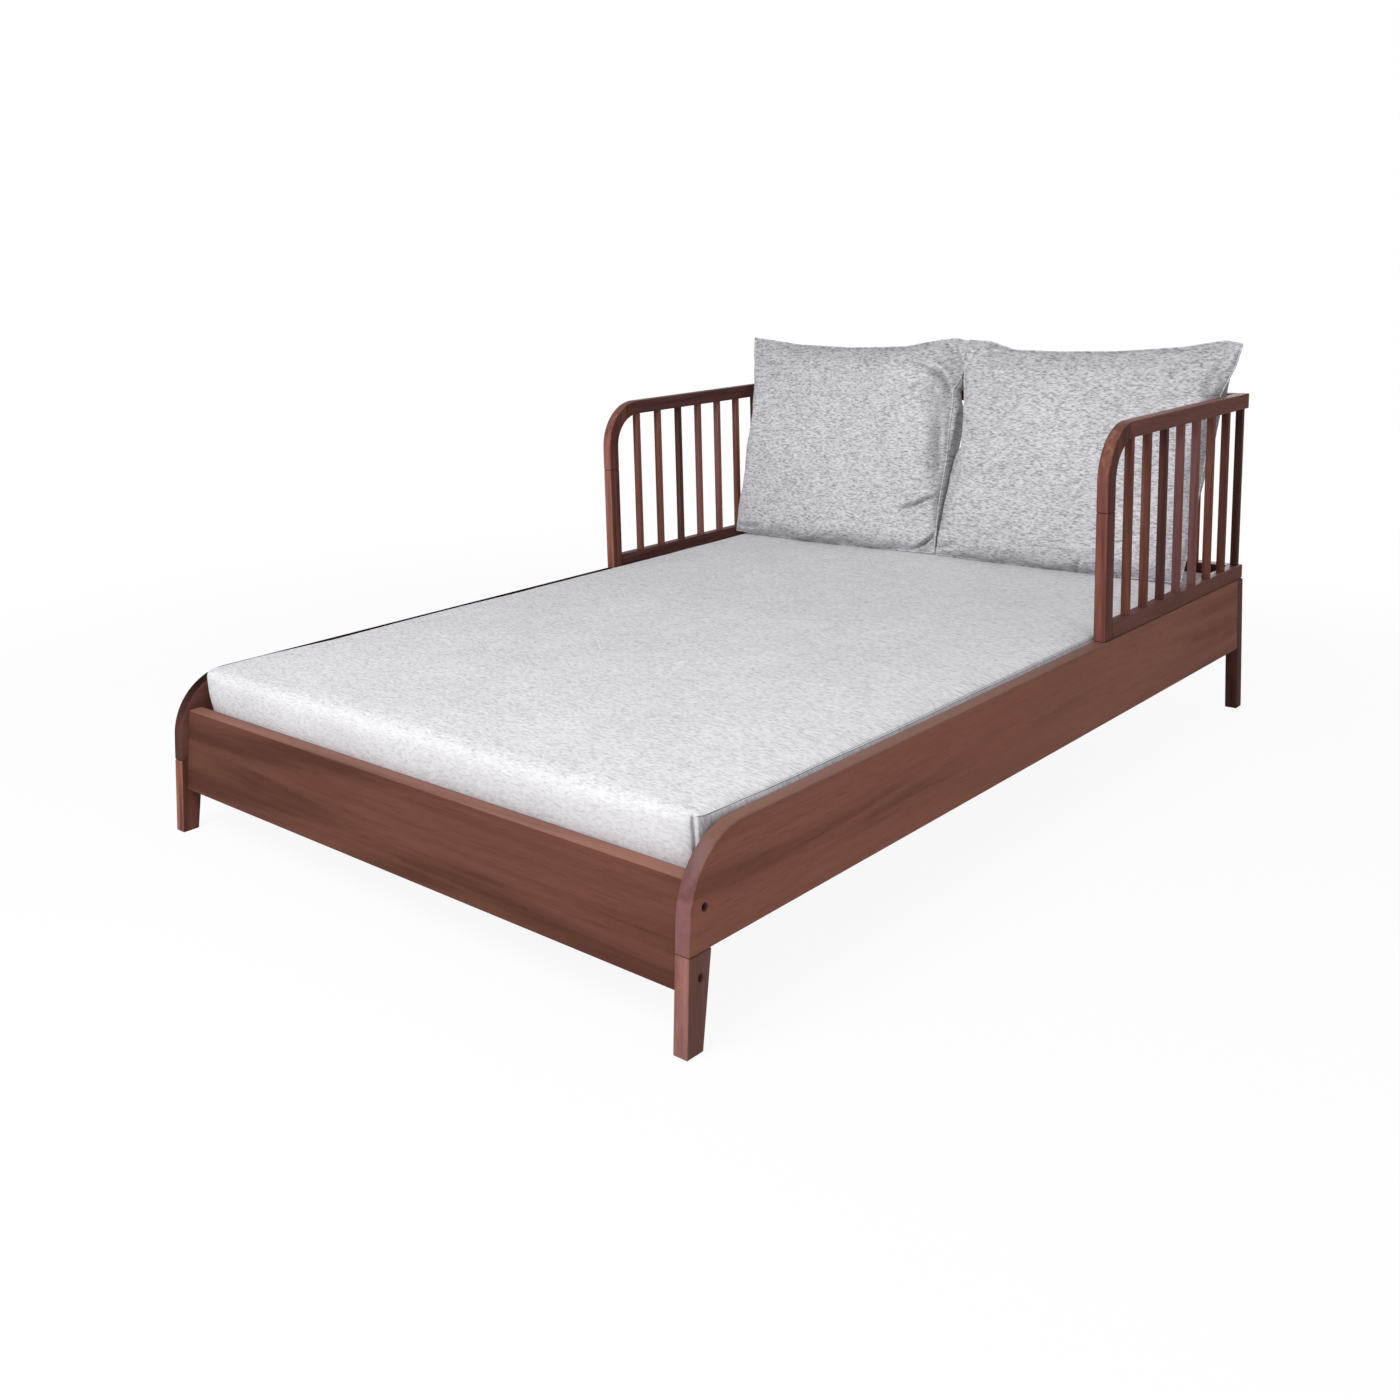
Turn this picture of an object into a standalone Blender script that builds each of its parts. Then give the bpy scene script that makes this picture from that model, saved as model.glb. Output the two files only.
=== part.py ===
"""Low slatted daybed with a spindle gallery, a loose mattress and two back cushions.

Metres, +Z up, the foot end faces -Y, the head end +Y, floor at Z = 0.
"""
import math

import bmesh
import bpy
from mathutils import Matrix, Vector
from mathutils.bvhtree import BVHTree

# overall sizes
LENGTH = 2.0              # toe of the front legs to heel of the rear posts, on the floor
WIDTH = 1.3               # over the side boards
RAKE = 0.069              # how far the ends lean in for each metre of height
CLEAR = 0.0003            # working gap between neighbouring pieces
EASE = 0.0016             # eased edge of the timber

# side boards, legs and rear posts
BOARD_T = 0.026
BOARD_BOTTOM = 0.1435
BOARD_TOP = 0.3055
CORNER_R = 0.122          # rounded front corner of the side board
LEG_TOP_DEPTH = 0.0483
LEG_FOOT_DEPTH = 0.0351
LEG_TENON_T = 0.011
LEG_TENON_D = 0.024
LEG_TENON_H = 0.020
POST_DEPTH = 0.028

# foot rail and head rail
FOOT_T = 0.0315
FOOT_BOTTOM = 0.0853
FOOT_TOP = 0.2419
FOOT_LEAN = 0.12          # lean of the foot rail for each metre of height
FOOT_SET = 0.0121         # front face behind the leg front, at the board's lower edge
HEAD_T = 0.022
HEAD_BOTTOM = 0.150

# corner bolts
BOLT_D = 0.006
BOLT_LENGTH = 0.052
BOLT_HEAD_D = 0.0110
BOLT_HEAD_H = 0.005
BOLT_SOCKET_D = 0.0056
BORE_D = 0.0135
BORE_DEPTH = 0.0105
BOLT_UP = 0.062           # upper bolt above the board's lower edge
BOLT_DOWN = 0.035         # lower bolt below it

# spindle gallery
ARM_LENGTH = 0.710
ARM_INSET = 0.002         # arm face behind the board face
ARM_T = 0.0235
ARM_BAR = 0.033           # depth of the arm post and of the top rail
ARM_RAIL_H = 0.031
ARM_TOP = 0.7228
BEND_R = 0.110            # outer radius of the arm's front corner
BEND_DROP = 0.056         # straight foot of the corner block below the curve
BEND_END = 80.0           # degrees of the curve carried by the corner block
BACK_RAIL_D = 0.036
SPINDLE = 0.0145
ARM_SPINDLES = 7
FIRST_SPINDLE = 0.1166    # first spindle's centre behind the arm's front face
BACK_SPINDLES = 10
BACK_END = 0.076          # last back spindle's centre from the arm's inner face
TENON = 0.010

# slatted deck
DECK_TOP = 0.210
SLATS = 6
SLAT_W = 0.120
SLAT_T = 0.018
LEDGER_W = 0.024
LEDGER_H = 0.030
BEARER_W = 0.032
BEARER_H = 0.058
DECK_MARGIN = 0.040       # ledger end and outer slat edge from the end rails

# mattress
MATTRESS_H = 0.113
MATTRESS_GAP = 0.0045     # to the boards and rails around it
MATTRESS_R = 0.024
MATTRESS_CROWN = 0.009
MATTRESS_DRAW = 0.003

# back cushions
CUSHION_EDGE = 0.022      # outer top corner inside the bed's outer width
CUSHION_TAPER = 0.034     # the lower corners are this much closer together
CUSHION_H = 0.556
CUSHION_FRONT = 0.092     # fullness in front of the seam
CUSHION_BACK = 0.064      # fullness behind the seam
CUSHION_SEAM = 0.010      # thickness at the seam
CUSHION_DIP = 0.026       # top edge drawn in between the corners
CUSHION_SIDE_DRAW = 0.018
CUSHION_FOOT_DRAW = 0.006
CUSHION_LEAN = 17.0       # degrees
CUSHION_GAP = 0.002       # between the two cushions
CUSHION_SETTLE = 0.006    # how far the cushion presses flat on the mattress and the rail
CUSHION_CELLS = 18

# derived planes
FRONT = -LENGTH / 2
REAR = LENGTH / 2
HALF = WIDTH / 2
INNER = HALF - BOARD_T
ARM_OUT = HALF - ARM_INSET
ARM_IN = ARM_OUT - ARM_T
ARM_MID = ARM_OUT - ARM_T / 2
RAIL_BASE = BOARD_TOP + CLEAR
RAIL_TOP = RAIL_BASE + ARM_RAIL_H
BAR_UNDER = ARM_TOP - ARM_BAR
LEDGER_TOP = DECK_TOP - SLAT_T - CLEAR


def front_y(z):
    """Front edge of the side board and leg."""
    return FRONT + RAKE * z


def rear_y(z):
    """Rear face of the rear post."""
    return REAR - RAKE * z


def foot_y(z):
    """Front face of the foot rail."""
    return front_y(BOARD_BOTTOM) + FOOT_SET + FOOT_LEAN * (z - BOARD_BOTTOM)


ARM_REAR = rear_y(BOARD_TOP)
ARM_FRONT = ARM_REAR - ARM_LENGTH
BACK_MID = ARM_REAR - BACK_RAIL_D / 2
BACK_FACE = ARM_REAR - BACK_RAIL_D

for item in list(bpy.data.objects):
    bpy.data.objects.remove(item, do_unlink=True)
PARTS = bpy.data.collections.new("spindle_daybed")
CUTTERS = bpy.data.collections.new("cutters")
for group in (PARTS, CUTTERS):
    bpy.context.scene.collection.children.link(group)


def material(name, colour, roughness, metallic=0.0):
    mat = bpy.data.materials.new(name)
    mat.use_nodes = True
    shader = mat.node_tree.nodes["Principled BSDF"]
    shader.inputs["Base Color"].default_value = (*colour, 1.0)
    shader.inputs["Roughness"].default_value = roughness
    shader.inputs["Metallic"].default_value = metallic
    mat.diffuse_color = (*colour, 1.0)
    return mat


WOOD = material("stained_hardwood", (0.155, 0.068, 0.045), 0.45)
DECK = material("deck_timber", (0.230, 0.130, 0.080), 0.60)
STEEL = material("blackened_steel", (0.050, 0.048, 0.046), 0.40, 1.0)
PAD = material("mattress_weave", (0.640, 0.640, 0.660), 0.92)
PILLOW = material("cushion_weave", (0.520, 0.520, 0.545), 0.92)


def add(name, mesh, mat, where=(0.0, 0.0, 0.0)):
    obj = bpy.data.objects.new(name, mesh)
    obj.location = where
    if mat is not None:
        mesh.materials.append(mat)
    PARTS.objects.link(obj)
    return obj


def ease(obj, width=EASE):
    bev = obj.modifiers.new("eased_edges", "BEVEL")
    bev.width = width
    bev.segments = 1
    bev.limit_method = "ANGLE"
    bev.angle_limit = math.radians(35)


def boxes_mesh(name, boxes):
    """One mesh of axis-aligned boxes, each given as centre and size."""
    bm = bmesh.new()
    for centre, size in boxes:
        place = Matrix.Translation(centre) @ Matrix.Diagonal((*size, 1.0))
        bmesh.ops.create_cube(bm, size=1.0, matrix=place)
    mesh = bpy.data.meshes.new(name)
    bm.to_mesh(mesh)
    bm.free()
    return mesh


def bar(name, x, y, z, mat=WOOD, width=EASE):
    """Straight bar between pairs of x, y and z planes."""
    size = (x[1] - x[0], y[1] - y[0], z[1] - z[0])
    obj = add(name, boxes_mesh(name, [((0, 0, 0), size)]), mat,
              ((x[0] + x[1]) / 2, (y[0] + y[1]) / 2, (z[0] + z[1]) / 2))
    ease(obj, width)
    return obj


def plate(name, outline, x, mat=WOOD, width=EASE):
    """Side-view outline (y, z) given thickness between two x planes."""
    bm = bmesh.new()
    bm.faces.new([bm.verts.new((0.0, y, z)) for y, z in outline])
    bmesh.ops.recalc_face_normals(bm, faces=bm.faces)
    mesh = bpy.data.meshes.new(name)
    bm.to_mesh(mesh)
    bm.free()
    obj = add(name, mesh, mat, ((x[0] + x[1]) / 2, 0.0, 0.0))
    thick = obj.modifiers.new("thickness", "SOLIDIFY")
    thick.thickness = x[1] - x[0]
    thick.offset = 0.0
    ease(obj, width)
    return obj


def tool(name, mesh):
    obj = bpy.data.objects.new(name, mesh)
    CUTTERS.objects.link(obj)
    obj.hide_render = True
    obj.display_type = "WIRE"
    return obj


def shape(obj, mesh, operation):
    """Cut or join a mesh given in world coordinates."""
    mod = obj.modifiers.new(operation.lower(), "BOOLEAN")
    mod.operation = operation
    mod.solver = "EXACT"
    mod.object = tool(obj.name + "_" + operation.lower(), mesh)


def sides():
    return (("left", -1), ("right", 1))


def span(sign, a, b):
    """Ordered x planes for one side of the bed."""
    return tuple(sorted((sign * a, sign * b)))


def corner_curve():
    """Rounded front corner of the side board, from the leg line to the top edge."""
    slope = math.sqrt(1 + RAKE ** 2)
    cz = BOARD_TOP - CORNER_R
    cy = front_y(cz) + CORNER_R * slope
    start = math.pi - math.atan(RAKE)
    return [(cy + CORNER_R * math.cos(a), cz + CORNER_R * math.sin(a))
            for a in (start + (math.pi / 2 - start) * i / 18 for i in range(19))]


def bolt_spots():
    """Bolt centres (y, z) at the middle of the foot rail's thickness."""
    heights = (BOARD_BOTTOM + BOLT_UP, BOARD_BOTTOM - BOLT_DOWN)
    return [(foot_y(z) + FOOT_T / 2, z) for z in heights]


def bolt_cut(name, sign, spots):
    """Counterbore and shank hole for each bolt of one side, turned from one stepped profile."""
    hole, bore = BOLT_D / 2 + CLEAR, BORE_D / 2
    step = HALF - BORE_DEPTH
    deep, mouth = step - BOLT_LENGTH - CLEAR, HALF + 0.002
    bm = bmesh.new()
    for y, z in spots:
        line = [bm.verts.new((sign * px, y + r, z)) for r, px in
                ((0, deep), (hole, deep), (hole, step), (bore, step), (bore, mouth), (0, mouth))]
        edges = [bm.edges.new(pair) for pair in zip(line, line[1:])]
        bmesh.ops.spin(bm, geom=line + edges, cent=(0, y, z), axis=(1, 0, 0), angle=2 * math.pi, steps=20)
    bmesh.ops.remove_doubles(bm, verts=bm.verts, dist=1e-6)
    bmesh.ops.recalc_face_normals(bm, faces=bm.faces)
    mesh = bpy.data.meshes.new(name)
    bm.to_mesh(mesh)
    bm.free()
    return mesh


# side boards, front legs and rear posts
upper, lower = bolt_spots()
for side, sign in sides():
    x = span(sign, INNER, HALF)
    tail = [(rear_y(z) - POST_DEPTH - CLEAR, z) for z in (BOARD_TOP, BOARD_BOTTOM)]
    board = plate("side_board_" + side,
                  [(front_y(BOARD_BOTTOM), BOARD_BOTTOM)] + corner_curve() + tail, x)
    leg_front = front_y(BOARD_BOTTOM)
    leg_top = BOARD_BOTTOM - CLEAR
    leg = plate("front_leg_" + side,
                [(FRONT, 0.0), (leg_front - RAKE * CLEAR, leg_top),
                 (leg_front + LEG_TOP_DEPTH, leg_top), (FRONT + LEG_FOOT_DEPTH, 0.0)], x)
    mid = (sign * (INNER + HALF) / 2, leg_front + LEG_TOP_DEPTH / 2, BOARD_BOTTOM)
    root = 0.004
    tenon = boxes_mesh("tenon", [((mid[0], mid[1], mid[2] + (LEG_TENON_H - root) / 2),
                                  (LEG_TENON_T, LEG_TENON_D, LEG_TENON_H + root))])
    shape(leg, tenon, "UNION")
    socket = boxes_mesh("socket", [((mid[0], mid[1], mid[2] + (LEG_TENON_H - root) / 2),
                                    (LEG_TENON_T + 2 * CLEAR, LEG_TENON_D + 2 * CLEAR,
                                     LEG_TENON_H + root + 2 * CLEAR))])
    shape(board, socket, "DIFFERENCE")
    shape(board, bolt_cut("bore", sign, [upper]), "DIFFERENCE")
    shape(leg, bolt_cut("bore", sign, [lower]), "DIFFERENCE")
    plate("rear_post_" + side,
          [(rear_y(0.0) - POST_DEPTH, 0.0), (rear_y(BOARD_TOP) - POST_DEPTH, BOARD_TOP),
           (rear_y(BOARD_TOP), BOARD_TOP), (rear_y(0.0), 0.0)], x)

# foot rail and head rail
rail_x = (-INNER + CLEAR, INNER - CLEAR)
foot = plate("foot_rail",
             [(foot_y(FOOT_BOTTOM), FOOT_BOTTOM), (foot_y(FOOT_TOP), FOOT_TOP),
              (foot_y(FOOT_TOP) + FOOT_T, FOOT_TOP), (foot_y(FOOT_BOTTOM) + FOOT_T, FOOT_BOTTOM)],
             rail_x, width=EASE * 1.6)
for side, sign in sides():
    shape(foot, bolt_cut("pilot", sign, [upper, lower]), "DIFFERENCE")
inset = (POST_DEPTH - HEAD_T) / 2
plate("head_rail",
      [(rear_y(z) - POST_DEPTH + d, z) for z, d in
       ((HEAD_BOTTOM, inset), (BOARD_TOP, inset), (BOARD_TOP, inset + HEAD_T), (HEAD_BOTTOM, inset + HEAD_T))],
      rail_x)


def head_face(z):
    return rear_y(z) - POST_DEPTH + inset


def foot_back(z):
    return foot_y(z) + FOOT_T


# corner bolts, turned from one profile
def bolt(name, sign, y, z):
    socket = BOLT_HEAD_H * 0.6
    radii = [(0.0, BOLT_HEAD_H - socket), (BOLT_SOCKET_D / 2, BOLT_HEAD_H - socket),
             (BOLT_SOCKET_D / 2, BOLT_HEAD_H), (BOLT_HEAD_D / 2, BOLT_HEAD_H), (BOLT_HEAD_D / 2, 0.0),
             (BOLT_D / 2, 0.0), (BOLT_D / 2, -BOLT_LENGTH), (0.0, -BOLT_LENGTH)]
    bm = bmesh.new()
    line = [bm.verts.new((r, 0.0, h)) for r, h in radii]
    for a, b in zip(line, line[1:]):
        bm.edges.new((a, b))
    mesh = bpy.data.meshes.new(name)
    bm.to_mesh(mesh)
    bm.free()
    obj = add(name, mesh, STEEL, (sign * (HALF - BORE_DEPTH + CLEAR), y, z))
    obj.rotation_euler = (0.0, sign * math.pi / 2, 0.0)
    turn = obj.modifiers.new("turned", "SCREW")
    turn.axis = "Z"
    turn.steps = turn.render_steps = 16
    turn.use_merge_vertices = True
    turn.merge_threshold = 0.00001


for side, sign in sides():
    for level, spot in (("upper", upper), ("lower", lower)):
        bolt("corner_bolt_" + level + "_" + side, sign, *spot)

# slatted deck: ledgers, centre bearer and slats
ledger_y = (foot_back(LEDGER_TOP) + DECK_MARGIN, head_face(LEDGER_TOP - LEDGER_H) - DECK_MARGIN)
for side, sign in sides():
    bar("slat_ledger_" + side, span(sign, INNER - CLEAR - LEDGER_W, INNER - CLEAR), ledger_y,
        (LEDGER_TOP - LEDGER_H, LEDGER_TOP), DECK)
low = LEDGER_TOP - BEARER_H
plate("centre_bearer",
      [(foot_back(low) + CLEAR, low), (foot_back(LEDGER_TOP) + CLEAR, LEDGER_TOP),
       (head_face(LEDGER_TOP) - CLEAR, LEDGER_TOP)]
      + ([(head_face(HEAD_BOTTOM) - CLEAR, HEAD_BOTTOM)] if low < HEAD_BOTTOM else [])
      + [(head_face(max(low, HEAD_BOTTOM)) - CLEAR, low)],
      (-BEARER_W / 2, BEARER_W / 2), DECK)
first, last = ledger_y[0] + SLAT_W / 2, ledger_y[1] - SLAT_W / 2
for i in range(SLATS):
    y = first + (last - first) * i / (SLATS - 1)
    bar("deck_slat_%d" % (i + 1), (-INNER + 3 * CLEAR, INNER - 3 * CLEAR),
        (y - SLAT_W / 2, y + SLAT_W / 2), (DECK_TOP - SLAT_T, DECK_TOP), DECK)

# spindle gallery: arms
bend_y, bend_z = ARM_FRONT + BEND_R, ARM_TOP - BEND_R
joint_z = bend_z - BEND_DROP
arm_y = [ARM_FRONT + FIRST_SPINDLE + i * (BACK_MID - ARM_FRONT - FIRST_SPINDLE) / ARM_SPINDLES
         for i in range(ARM_SPINDLES)]


def arc(radius, start, stop, steps):
    """Points on the arm's front corner, measured up and back from its front face."""
    angles = [math.radians(180 - start - (stop - start) * i / steps) for i in range(steps + 1)]
    return [(bend_y + radius * math.cos(a), bend_z + radius * math.sin(a)) for a in angles]


def mortises(name, spots, z):
    """Pockets for spindle ends, opening at z[0] and bottoming at z[1]."""
    wide = SPINDLE + 2 * CLEAR
    return boxes_mesh(name, [((px, py, (z[0] + z[1]) / 2), (wide, wide, abs(z[1] - z[0]))) for px, py in spots])


low_pocket = (RAIL_TOP + 0.002, RAIL_TOP - TENON - CLEAR)
high_pocket = (BAR_UNDER - 0.002, BAR_UNDER + TENON + CLEAR)
spindle_z = (RAIL_TOP - TENON, BAR_UNDER + TENON)


def spindle(name, px, py):
    half = SPINDLE / 2
    bar(name, (px - half, px + half), (py - half, py + half), spindle_z, width=0.0012)


for side, sign in sides():
    x = span(sign, ARM_IN, ARM_OUT)
    spots = [(sign * ARM_MID, y) for y in arm_y + [BACK_MID]]
    bar("arm_post_" + side, x, (ARM_FRONT, ARM_FRONT + ARM_BAR), (RAIL_BASE, joint_z - CLEAR))
    inner_r = BEND_R - ARM_BAR
    plate("arm_corner_" + side,
          [(ARM_FRONT, joint_z)] + arc(BEND_R, 0, BEND_END, 18)
          + arc(inner_r, BEND_END, 0, 14) + [(ARM_FRONT + ARM_BAR, joint_z)], x)
    shift = CLEAR * math.degrees(1) / BEND_R
    rail = plate("arm_top_rail_" + side,
                 arc(BEND_R, BEND_END + shift, 90, 2) + [(ARM_REAR, ARM_TOP), (ARM_REAR, BAR_UNDER)]
                 + arc(inner_r, 90, BEND_END + shift * BEND_R / inner_r, 2), x)
    shape(rail, mortises("mortises", spots, high_pocket), "DIFFERENCE")
    base = bar("arm_base_rail_" + side, x, (ARM_FRONT + ARM_BAR + CLEAR, ARM_REAR), (RAIL_BASE, RAIL_TOP))
    shape(base, mortises("mortises", spots, low_pocket), "DIFFERENCE")
    for i, (px, py) in enumerate(spots[:-1]):
        spindle("arm_spindle_%s_%d" % (side, i + 1), px, py)
    spindle("corner_spindle_" + side, *spots[-1])

# spindle gallery: back
back_x = (-ARM_IN + CLEAR, ARM_IN - CLEAR)
reach = ARM_IN - BACK_END
spots = [(-reach + 2 * reach * i / (BACK_SPINDLES - 1), BACK_MID) for i in range(BACK_SPINDLES)]
rail = bar("back_top_rail", back_x, (BACK_FACE, ARM_REAR), (BAR_UNDER, ARM_TOP))
shape(rail, mortises("mortises", spots, high_pocket), "DIFFERENCE")
base = bar("back_base_rail", back_x, (BACK_FACE, ARM_REAR), (RAIL_BASE, RAIL_TOP))
shape(base, mortises("mortises", spots, low_pocket), "DIFFERENCE")
for i, (px, py) in enumerate(spots):
    spindle("back_spindle_%d" % (i + 1), px, py)


# soft pieces start as a cut-up cube and are drawn into their form
def lattice(name, cuts):
    """Two-unit cube cut at the given places along x, y and z."""
    bm = bmesh.new()
    bmesh.ops.create_cube(bm, size=2.0)
    for axis, places in enumerate(cuts):
        normal = Vector((0, 0, 0))
        normal[axis] = 1.0
        for place in places:
            bmesh.ops.bisect_plane(bm, geom=bm.verts[:] + bm.edges[:] + bm.faces[:], dist=1e-6,
                                   plane_co=normal * place, plane_no=normal)
    mesh = bpy.data.meshes.new(name)
    bm.to_mesh(mesh)
    bm.free()
    return mesh


def even(cells):
    return [-1 + 2 * i / cells for i in range(1, cells)]


# mattress
pad_y = (foot_back(FOOT_TOP) + MATTRESS_GAP, BACK_FACE - MATTRESS_GAP)
half_size = (INNER - MATTRESS_GAP, (pad_y[1] - pad_y[0]) / 2, MATTRESS_H / 2)


def pad_cuts(half, cells):
    """Close cuts through the rounded edge, even ones between."""
    near = 1 - 2 * MATTRESS_R / half
    edge = [1 - MATTRESS_R * k / half for k in (0.3, 0.75, 1.4)] + [near]
    middle = [near * v for v in even(cells)]
    return [-v for v in edge] + middle + edge


mesh = lattice("mattress", (pad_cuts(half_size[0], 6), pad_cuts(half_size[1], 8),
                            [-0.84, -0.5, 0.0, 0.5, 0.84]))
for v in mesh.vertices:
    u = Vector(v.co)
    p = Vector([u[i] * half_size[i] for i in range(3)])
    core = Vector([max(-half_size[i] + MATTRESS_R, min(half_size[i] - MATTRESS_R, p[i])) for i in range(3)])
    out = p - core
    if out.length > 0:
        p = core + out.normalized() * MATTRESS_R
    dome = (1 - u.x ** 2) * (1 - u.y ** 2)
    p.z += MATTRESS_CROWN * dome ** 0.5 * max(0.0, u.z) - MATTRESS_CROWN * max(0.0, u.z)
    waist = MATTRESS_DRAW * (1 - u.z ** 2)
    p.x -= waist * (1 - u.y ** 2) * u.x ** 3
    p.y -= waist * (1 - u.x ** 2) * u.y ** 3
    v.co = p
pad_low = DECK_TOP + CLEAR
pad = add("mattress", mesh, PAD, (0.0, sum(pad_y) / 2, pad_low + half_size[2]))
pad_tree = BVHTree.FromPolygons([v.co + pad.location for v in mesh.vertices],
                                [tuple(p.vertices) for p in mesh.polygons])


def pad_top(x, y, reach=0.012):
    """Highest point of the mattress close to a spot, or its underside beyond the edge."""
    hits = [pad_tree.ray_cast(Vector((x + dx, y + dy, pad_low + 2 * MATTRESS_H)), Vector((0, 0, -1)))[0]
            for dx in (-reach, reach) for dy in (-reach, reach)]
    return max(pad_low if hit is None else hit.z for hit in hits)


# back cushions, pressed flat where they rest on the mattress and lean on the gallery
lean = math.radians(CUSHION_LEAN)
above = ARM_TOP + CUSHION_H / CUSHION_CELLS
top_wide = HALF - CUSHION_EDGE - CUSHION_GAP / 2
foot_wide = min(top_wide - CUSHION_TAPER, half_size[0] - MATTRESS_R - CUSHION_GAP)
for side, sign in sides():
    name = "back_cushion_" + side
    mesh = lattice(name, (even(CUSHION_CELLS), [], even(CUSHION_CELLS)))
    for v in mesh.vertices:
        u, s, w = v.co
        full = max(0.0, (1 - u * u) * (1 - w * w)) ** 0.55
        full *= 1.0 - 0.12 * w
        depth = CUSHION_SEAM / 2 + full * (CUSHION_FRONT if s < 0 else CUSHION_BACK)
        draw = CUSHION_DIP if w > 0 else CUSHION_FOOT_DRAW
        wide = foot_wide + (top_wide - foot_wide) * (1 + w) / 2
        v.co = (sign * wide / 2 + u * (wide / 2 - CUSHION_SIDE_DRAW * (1 - w * w)),
                s * depth,
                w * CUSHION_H / 2 - draw * (1 - u * u) * w * abs(w))
    mesh.transform(Matrix.Rotation(-lean, 4, "X"))
    lift = pad_low + MATTRESS_H - MATTRESS_CROWN / 2 - CUSHION_SETTLE - min(v.co.z for v in mesh.vertices)
    back = BACK_FACE + CUSHION_SETTLE - max(v.co.y for v in mesh.vertices if v.co.z + lift < above)
    middle = sign * CUSHION_GAP / 2
    for v in mesh.vertices:
        v.co.y = min(v.co.y, BACK_FACE - CLEAR - back)
        if v.co.z + lift < above:
            v.co.x = sign * min(sign * v.co.x, ARM_IN - CLEAR - CUSHION_GAP / 2)
        v.co.z = max(v.co.z, pad_top(middle + v.co.x, back + v.co.y) + 2 * CLEAR - lift)
    add(name, mesh, PILLOW, (middle, back, lift))
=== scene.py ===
"""Looks of the spindle daybed: stained timber, woven covers, soft cushions and a plain studio.

Metres, +Z up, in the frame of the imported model: foot end at -Y, head end at +Y, floor at Z = 0.
"""
import math

import bmesh
import bpy
import numpy as np
from mathutils import Matrix, Vector, noise
from mathutils.bvhtree import BVHTree


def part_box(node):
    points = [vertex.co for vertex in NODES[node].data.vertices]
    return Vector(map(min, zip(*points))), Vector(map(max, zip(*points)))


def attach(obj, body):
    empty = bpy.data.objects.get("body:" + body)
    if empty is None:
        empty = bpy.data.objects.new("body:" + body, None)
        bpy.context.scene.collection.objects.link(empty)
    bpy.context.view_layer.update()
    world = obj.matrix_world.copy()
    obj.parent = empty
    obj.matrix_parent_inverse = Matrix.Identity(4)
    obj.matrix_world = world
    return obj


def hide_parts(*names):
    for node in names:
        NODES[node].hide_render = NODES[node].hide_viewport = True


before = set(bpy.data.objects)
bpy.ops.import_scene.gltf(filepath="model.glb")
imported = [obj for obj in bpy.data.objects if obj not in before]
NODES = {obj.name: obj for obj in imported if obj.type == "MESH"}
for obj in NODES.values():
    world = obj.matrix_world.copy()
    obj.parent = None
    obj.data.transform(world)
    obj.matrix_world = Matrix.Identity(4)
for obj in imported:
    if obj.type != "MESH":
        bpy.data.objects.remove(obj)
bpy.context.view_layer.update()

SCENE = bpy.context.scene

# camera, solved from the photograph at 1400 x 1400 pixels
IMAGE = 1400.0
FOCAL = 1432.3                       # pixels
CENTRE = (551.1, 526.3)              # pixels, where the lens axis meets the image
EYE = Vector((1.7968, -2.3487, 1.0439))
YAW, PITCH, ROLL = (math.radians(a) for a in (45.266, 9.905, -2.495))


# small helpers for node trees
class Tree:
    """Adds nodes to one material and links sockets to values or to other sockets."""

    def __init__(self, name):
        self.material = bpy.data.materials.new(name)
        self.material.use_nodes = True
        self.nodes = self.material.node_tree.nodes
        self.links = self.material.node_tree.links
        self.shader = self.nodes["Principled BSDF"]

    def set(self, socket, value):
        if isinstance(value, bpy.types.NodeSocket):
            self.links.new(value, socket)
        else:
            socket.default_value = value

    def add(self, kind, inputs=None, **settings):
        node = self.nodes.new("ShaderNode" + kind)
        for key, value in settings.items():
            setattr(node, key, value)
        for key, value in (inputs or {}).items():
            self.set(node.inputs[key], value)
        return node

    def math(self, operation, a, b=0.0, c=0.0):
        return self.add("Math", {0: a, 1: b, 2: c}, operation=operation).outputs[0]

    def ramp(self, fac, stops, smooth=False):
        node = self.add("ValToRGB", {0: fac})
        bar = node.color_ramp
        bar.interpolation = "EASE" if smooth else "LINEAR"
        while len(bar.elements) < len(stops):
            bar.elements.new(0.5)
        for element, (place, colour) in zip(bar.elements, stops):
            element.position = place
            element.color = (*colour, 1.0) if len(colour) == 3 else colour
        return node.outputs[0]

    def noise(self, vector, scale, detail=2.0, rough=0.5, distortion=0.0):
        node = self.add("TexNoise", {"Vector": vector, "Scale": scale, "Detail": detail,
                                     "Roughness": rough, "Distortion": distortion})
        return node.outputs[0]

    def stretch(self, vector, scale, shift=(0.0, 0.0, 0.0)):
        node = self.add("Mapping", {"Vector": vector, "Scale": scale, "Location": shift})
        return node.outputs[0]

    def mix(self, blend, fac, a, b):
        node = self.add("Mix", data_type="RGBA", blend_type=blend)
        self.set(node.inputs[0], fac)
        self.set(node.inputs[6], a)
        self.set(node.inputs[7], b)
        return node.outputs[2]

    def tint(self, colour, fac, stops):
        """Darkens or lightens a colour by a ramp of greys."""
        return self.mix("MULTIPLY", 1.0, colour, self.ramp(fac, [(place, grey(v)) for place, v in stops]))

    def bump(self, height, strength, distance):
        return self.add("Bump", {"Height": height, "Strength": strength, "Distance": distance}).outputs[0]


def grey(v):
    return (v, v, v)


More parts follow.
